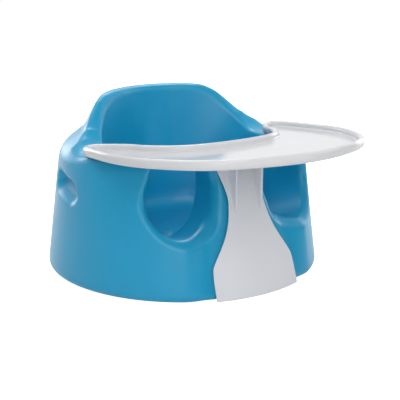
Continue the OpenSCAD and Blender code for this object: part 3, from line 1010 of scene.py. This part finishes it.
@dataclass
class TrayStem(TrayPart):
    """The stem: a curved face that hooks its toe under the foot, two gussets and a screwed flange."""

    cols: int = 30
    edge: float = 0.9
    slot = Slot.STEM
    nodes = ("tray_stem",)
    crease = 35.0

    def half_width(self, z: Array) -> Array:
        """Half the stem's width at heights: broad on the floor, waisted, and flared under the tray."""
        a, b, c = self.seat.stem_foot_w, self.sizes.waist_w, self.sizes.top_w
        foot = [(0, a), (22, a - 0.6), (36, a - 1.8)]
        narrowing = [(41, 0.91), (46, 0.83), (55, 0.68), (65, 0.505), (75, 0.353), (85, 0.226), (95, 0.129),
                     (105, 0.06), (120, 0.0)]
        flare = [(135, 0.17), (145, 0.42), (155, 0.65)]
        knots = foot + [(h, mix(b, a, k)) for h, k in narrowing] + [(h, mix(b, c, k)) for h, k in flare]
        return curve_at(knots + [(176, c + 1)], z)

    def radii(self) -> Pair:
        """Radii of the face's inside and outside."""
        outer = self.seat.foot_r - self.seat.face_in + self.seat.stem_gap + self.sizes.stem_t
        return outer - self.sizes.stem_skin, outer

    @property
    def middle_r(self) -> float:
        """Radius of the middle of the face's wall."""
        return sum(self.radii()) / 2

    @property
    def top_z(self) -> float:
        """Height of the face's upper end, inside the flange."""
        t = self.sizes
        return self.seat.rest_z(self.row_y) + t.flange_low + t.gap + t.gusset_t / 2 - 1

    def point(self, x: Array, z: Array, r: float) -> Array:
        """Points of the sheared cylinder of radius r at x and z."""
        return np.stack([x, self.seat.face_lean * z - np.sqrt(r * r - x * x), z], -1)

    def ring(self, z: float, shrink: float) -> Array:
        """A ring round the face at a height, with rounded edges, drawn in by shrink."""
        inner, outer = self.radii()
        inner, outer = inner + shrink, outer - shrink
        w, small = self.half_width(np.array([z]))[0] - shrink, self.edge * 0.6
        across = np.linspace(-1, 1, self.cols + 1)
        turn = np.radians([12, 32, 52, 72, 90])
        sine, cosine = 1 - np.sin(turn), 1 - np.cos(turn)
        side_x = np.concatenate([w - self.edge * sine, w - small * sine[::-1]])
        side_r = np.concatenate([outer - self.edge * cosine, inner + small * cosine[::-1]])
        xs = np.concatenate([(w - self.edge) * across, side_x, (small - w) * across, -side_x[::-1]])
        rs = np.concatenate([0 * across + outer, side_r, 0 * across + inner, side_r[::-1]])
        return self.point(xs, np.full(len(xs), z), rs)

    def face(self) -> Object:
        """The stem's face."""
        rows = [(0.0, 0.6), (0.2, 0.25), (0.7, 0.0)] + [(z, 0.0) for z in np.linspace(4, self.top_z, 62)]
        return capped("tray_stem_moulding", [self.ring(z, shrink) for z, shrink in rows])

    def toe(self) -> Object:
        """The toe that hooks under the seat's foot."""
        s = self.seat
        y, w, top = s.toe_l - s.foot_r, s.toe_w, s.toe_t
        x = np.linspace(-w, w, 21)
        outline = np.vstack([
            [(w, y - 8), (w - 2.4, y - 2.4), (w - 8, y), (8 - w, y), (2.4 - w, y - 2.4), (-w, y - 8)],
            np.stack([x, -np.sqrt(self.middle_r**2 - x * x)], 1)])
        return capped("stem_toe", flat_rings(outline, [
            (0.5, 0.3), (0.1, 0.5), (0.0, 0.9), (0.0, top - 0.6), (0.15, top - 0.15), (0.6, top)]))

    def flange(self) -> Object:
        """The flange under the tray, bored for the screws."""
        t = self.sizes
        x0, y0, low, h = t.top_w + 1, self.row_y - t.flange_reach, t.flange_low, t.gusset_t
        corner = np.array([(x0 - 4, y0), (x0 - 1.2, y0 + 1.2), (x0, y0 + 4)])
        x = x0 * np.linspace(1, -1, 22)
        rear = self.point(x, np.full(len(x), self.top_z), self.middle_r)[:, :2]
        rings = flat_rings(np.vstack([corner[::-1] * (-1, 1), corner, rear]),
                           [(0.5, low), (0, low + 0.5), (0, low + h - 0.5), (0.5, low + h)])
        bores, r = bmesh.new(), (t.screw_d / 2 + t.hole_gap) * MM
        for x in t.screw_places:
            at = self.plane.matrix(t.gap) @ Matrix.Translation(Vector((x, self.row_y, low + h / 2)) * MM)
            bmesh.ops.create_cone(bores, cap_ends=True, segments=ROUND_STEPS, radius1=r, radius2=r,
                                  depth=(h + 2) * MM, matrix=at)
        return carved(capped("stem_flange", [self.plane.place(ring, t.gap) for ring in rings]), bores)

    def gusset(self, side: int) -> Object:
        """A triangular gusset in front of the face, on one side."""
        half, top, count = self.sizes.gusset_t / 2, self.top_z, 14
        zs = np.linspace(self.sizes.gusset_z, top, count)
        root = self.point(np.full(count, self.sizes.gusset_x), zs, self.middle_r)
        front = root.copy()
        front[:, 1] = root[0, 1] - 2.2
        front[-1, 2] = top + self.seat.rise * (root[-1, 1] - root[0, 1]) + 0.6
        across = np.array([(-half, 0, 0), (-half, 0, 0), (half, 0, 0), (half, 0, 0)])
        rings = [(np.array([p, q, q, p]) + across) * (side, 1, 1) for p, q in zip(root, front)]
        return capped("gusset", rings)

    def build(self) -> Object:
        """Joins the stem's face, toe, flange and gussets into one object."""
        obj = self.face()
        join_meshes(obj, [self.toe(), self.flange(), self.gusset(-1), self.gusset(1)])
        return obj


@dataclass
class TrayScrews(TrayPart):
    """Four pan-head screws through the flange, placed by a Geometry Nodes row."""

    pitch: float = 0.9
    thread: float = 0.35
    slot = Slot.STEEL
    nodes = ("tray_screws",)
    crease = 40.0

    def one(self) -> Object:
        """A screw about its own axis, its head's bearing face at height 0, with a cross recess."""
        t = self.sizes
        r, h, k, root = t.screw_d / 2, t.screw_head_d / 2, t.screw_head_h, t.screw_d / 2 - self.thread
        rows = [(AXIS_R, -k), (h * 0.45, -k), (h * 0.7, 0.15 - k), (h * 0.9, 0.6 - k), (h, 1.1 - k),
                (h, -0.25), (h - 0.25, 0), (r, 0)]
        for z in np.arange(0.4, t.screw_l - 2.0, self.pitch):
            rows += [(r, z), (root, z + self.thread), (root, z + self.thread + 0.2)]
        rows += [(r * 0.75, t.screw_l - 1.5), (AXIS_R, t.screw_l)]
        recess = bmesh.new()
        for turn in (0, math.pi / 2):
            at = Matrix.Translation((0, 0, -k * MM)) @ Matrix.Rotation(turn, 4, "Z") @ Matrix.Diagonal(
                (h * 1.15 * MM, 0.8 * MM, 2.2 * MM, 1))
            bmesh.ops.create_cube(recess, size=1, matrix=at)
        return carved(capped("screw", turned_rings(rows)), recess, crossing=True)

    def tree(self) -> Tree:
        """The Geometry Nodes tree that sets one piece at four places, two each side of the middle."""
        n = Nodes(bpy.data.node_groups.new("row_of_four", "GeometryNodeTree"))
        for in_out, kind, names in (
                ("INPUT", "Geometry", ("Geometry",)), ("INPUT", "Object", ("Piece",)),
                ("INPUT", "Float", ("Near", "Far", "Row")), ("INPUT", "Material", ("Material",)),
                ("OUTPUT", "Geometry", ("Geometry",))):
            n.sockets(in_out, kind, names)
        i = n.add("NodeGroupInput").outputs
        line = n.out("GeometryNodeMeshLine", {"Count": 4})
        number = n.out("GeometryNodeInputIndex")
        side = n.math("SUBTRACT", n.math("MULTIPLY", n.math("GREATER_THAN", number, 1.5), 2.0), 1.0)
        across = n.math("ADD", i["Near"], n.math("MULTIPLY", n.math("MODULO", number, 2.0),
                                                 n.math("SUBTRACT", i["Far"], i["Near"])))
        place = n.out("ShaderNodeCombineXYZ", {"X": n.math("MULTIPLY", across, side), "Y": i["Row"]})
        points = n.out("GeometryNodeSetPosition", {"Geometry": line, "Position": place})
        piece = n.add("GeometryNodeObjectInfo", {"Object": i["Piece"]}).outputs["Geometry"]
        turn = n.add("FunctionNodeRandomValue", {"Seed": 7, 2: 0.0, 3: 1.5}, data_type="FLOAT").outputs[1]
        spin = n.out("ShaderNodeCombineXYZ", {"Z": turn})
        row = n.out("GeometryNodeInstanceOnPoints", {"Points": points, "Instance": piece, "Rotation": spin})
        real = n.out("GeometryNodeRealizeInstances", {"Geometry": row})
        done = n.out("GeometryNodeSetMaterial", {"Geometry": real, "Material": i["Material"]})
        n.add("NodeGroupOutput", {"Geometry": done})
        return n.tree

    def build(self, material: Material) -> Object:
        """Sets the four screws out and returns them as one object."""
        t, source = self.sizes, self.one()
        obj = linked("tray_screw_set", bpy.data.meshes.new("tray_screw_set"))
        mod = obj.modifiers.new("row", "NODES")
        mod.node_group = self.tree()
        values = {"Piece": source, "Near": t.screw_near * MM, "Far": t.screw_far * MM,
                  "Row": self.row_y * MM, "Material": material}
        for item in mod.node_group.interface.items_tree:
            if item.in_out == "INPUT" and item.name in values:
                mod[item.identifier] = values[item.name]
        applied(obj)
        bpy.data.objects.remove(source)
        obj.data.transform(self.plane.matrix(t.gap + t.flange_low))
        return obj


# ---- Studio ----


def direction(azimuth: float, elevation: float) -> Vector:
    """Unit vector at an azimuth, counted from straight ahead, and an elevation, in degrees."""
    a, e = math.radians(azimuth), math.radians(elevation)
    return Vector((math.sin(a) * math.cos(e), -math.cos(a) * math.cos(e), math.sin(e)))


@dataclass(frozen=True)
class Lamp:
    """A square soft lamp that faces the seat, its azimuth counted from the camera's."""

    name: str
    azimuth: float
    elevation: float
    size: float
    power: float


@dataclass
class Studio:
    """Floor, lamps, world and camera, in metres, degrees and watts."""

    camera_at: Triple = (-0.69734, -1.05671, 0.43366)
    azimuth: float = -34.563
    elevation: float = 15.528
    roll: float = 0.196
    lens: float = 83.391
    sensor: float = 36.0
    world_light: float = 0.1
    world_seen: float = 1.0
    mirrored_front: float = 0.05
    mirrored_rear: float = 1.1
    rear_turn: float = 200.0
    rear_rise: float = 0.35
    floor_half: float = 6.0
    floor_low: float = 0.0003
    floor_tone: float = 0.8
    floor_glow: float = 0.93
    floor_mirrored: float = 0.55
    aim_z: float = 0.12
    lamp_away: float = 1.7
    lamps: tuple[Lamp, ...] = (
        Lamp("left_rear", 225, 12, 0.7, 6.6), Lamp("left_high", 270, 58, 0.9, 4.0),
        Lamp("front_high", 0, 58, 0.9, 6.3), Lamp("front_middle", 0, 32, 0.9, 6.3),
        Lamp("front_low", 0, 8, 0.9, 5.0), Lamp("front_right", 45, 32, 0.9, 2.8),
        Lamp("right_high", 90, 32, 0.9, 4.2), Lamp("right_rear", 135, 8, 0.9, 7.5),
        Lamp("rear_high", 190, 52, 0.9, 11.4))

    def camera(self) -> None:
        """Puts the camera where the photograph was taken."""
        data = bpy.data.cameras.new("camera")
        data.lens, data.sensor_width = self.lens, self.sensor
        data.clip_start, data.clip_end = 0.05, 50
        obj = linked("camera", data)
        back, right = direction(self.azimuth, self.elevation), direction(self.azimuth + 90, 0)
        turned = Matrix((right, back.cross(right), back)).transposed().to_4x4()
        obj.matrix_world = (Matrix.Translation(self.camera_at) @ turned
                            @ Matrix.Rotation(math.radians(self.roll), 4, "Z"))
        bpy.context.scene.camera = obj

    def light(self, lamp: Lamp) -> None:
        """Sets up a lamp, facing the seat."""
        data = bpy.data.lights.new(lamp.name, "AREA")
        data.shape, data.size, data.energy = "SQUARE", lamp.size, lamp.power
        away = direction(self.azimuth + lamp.azimuth, lamp.elevation)
        obj = linked(lamp.name, data)
        obj.location = Vector((0, 0, self.aim_z)) + away * self.lamp_away
        obj.rotation_euler = (-away).to_track_quat("-Z", "Y").to_euler()

    def floor(self) -> None:
        """A white floor that keeps the seat's shadow and looks white to the camera."""
        s = self.floor_half / MM
        obj = new_object("floor", [(-s, -s, 0), (s, -s, 0), (s, s, 0), (-s, s, 0)], [(0, 1, 2, 3)])
        obj.location.z = -self.floor_low
        mat = bpy.data.materials.new("white_floor")
        n = Nodes.fresh(mat)
        path = n.add("ShaderNodeLightPath").outputs
        seen = n.math("MAXIMUM", path["Is Camera Ray"],
                      n.math("MAXIMUM", path["Is Glossy Ray"], path["Is Transmission Ray"]))
        plain = n.out("ShaderNodeBsdfDiffuse", {"Color": (*[self.floor_tone] * 3, 1)})
        strength = n.math("MULTIPLY_ADD", path["Is Camera Ray"], self.floor_glow - self.floor_mirrored,
                          self.floor_mirrored)
        glow = n.out("ShaderNodeEmission", {"Color": WHITE, "Strength": strength})
        lit = n.out("ShaderNodeAddShader", {0: plain, 1: glow})
        out = n.out("ShaderNodeMixShader", {0: seen, 1: plain, 2: lit})
        n.add("ShaderNodeOutputMaterial", {"Surface": out})
        obj.data.materials.append(mat)

    def world(self) -> None:
        """A plain soft surround, white to the camera, and brighter behind the seat in mirrored rays."""
        world = bpy.data.worlds.new("studio")
        n = Nodes.fresh(world)
        path = n.add("ShaderNodeLightPath").outputs
        rear = (*direction(self.azimuth + self.rear_turn, 0).xy, self.rear_rise)
        way = n.out("ShaderNodeTexCoord")
        facing = n.add("ShaderNodeVectorMath", {0: way, 1: rear}, operation="DOT_PRODUCT").outputs["Value"]
        mirrored = n.out("ShaderNodeMapRange", {
            "Value": facing, "From Min": -0.35, "From Max": 0.75, "To Min": self.mirrored_front,
            "To Max": self.mirrored_rear}, interpolation_type="SMOOTHSTEP")
        dim, soft, white = (n.out("ShaderNodeBackground", {"Color": WHITE, "Strength": strength})
                            for strength in (self.world_light, mirrored, self.world_seen))
        bounced = n.math("MAXIMUM", path["Is Glossy Ray"], path["Is Transmission Ray"])
        lit = n.out("ShaderNodeMixShader", {0: bounced, 1: dim, 2: soft})
        out = n.out("ShaderNodeMixShader", {0: path["Is Camera Ray"], 1: lit, 2: white})
        n.add("ShaderNodeOutputWorld", {"Surface": out})
        bpy.context.scene.world = world

    def build(self) -> None:
        """Sets up the whole studio."""
        self.camera()
        self.floor()
        self.world()
        for lamp in self.lamps:
            self.light(lamp)
        bpy.context.scene.view_settings.view_transform = "Standard"


def main() -> None:
    """Builds and dresses the sub-assemblies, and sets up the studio."""
    logging.basicConfig(level=logging.INFO, format="%(name)s: %(message)s")
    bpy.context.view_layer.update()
    seat_sizes, tray_sizes = SeatSizes(), TraySizes()
    parts = (seat_sizes, tray_sizes, RestPlane(seat_sizes))
    skin = moulded_skin_group()
    Studio().build()

    for piece, finish in ((SeatShell(seat_sizes), FOAM), (PlayTray(*parts), TRAY_GLOSS),
                          (TrayStem(*parts), STEM_SATIN)):
        piece.dress(piece.build(), finish.material(skin))
    screws = TrayScrews(*parts)
    screws.dress(screws.build(STEEL.material(skin)))


if __name__ == "__main__":
    main()
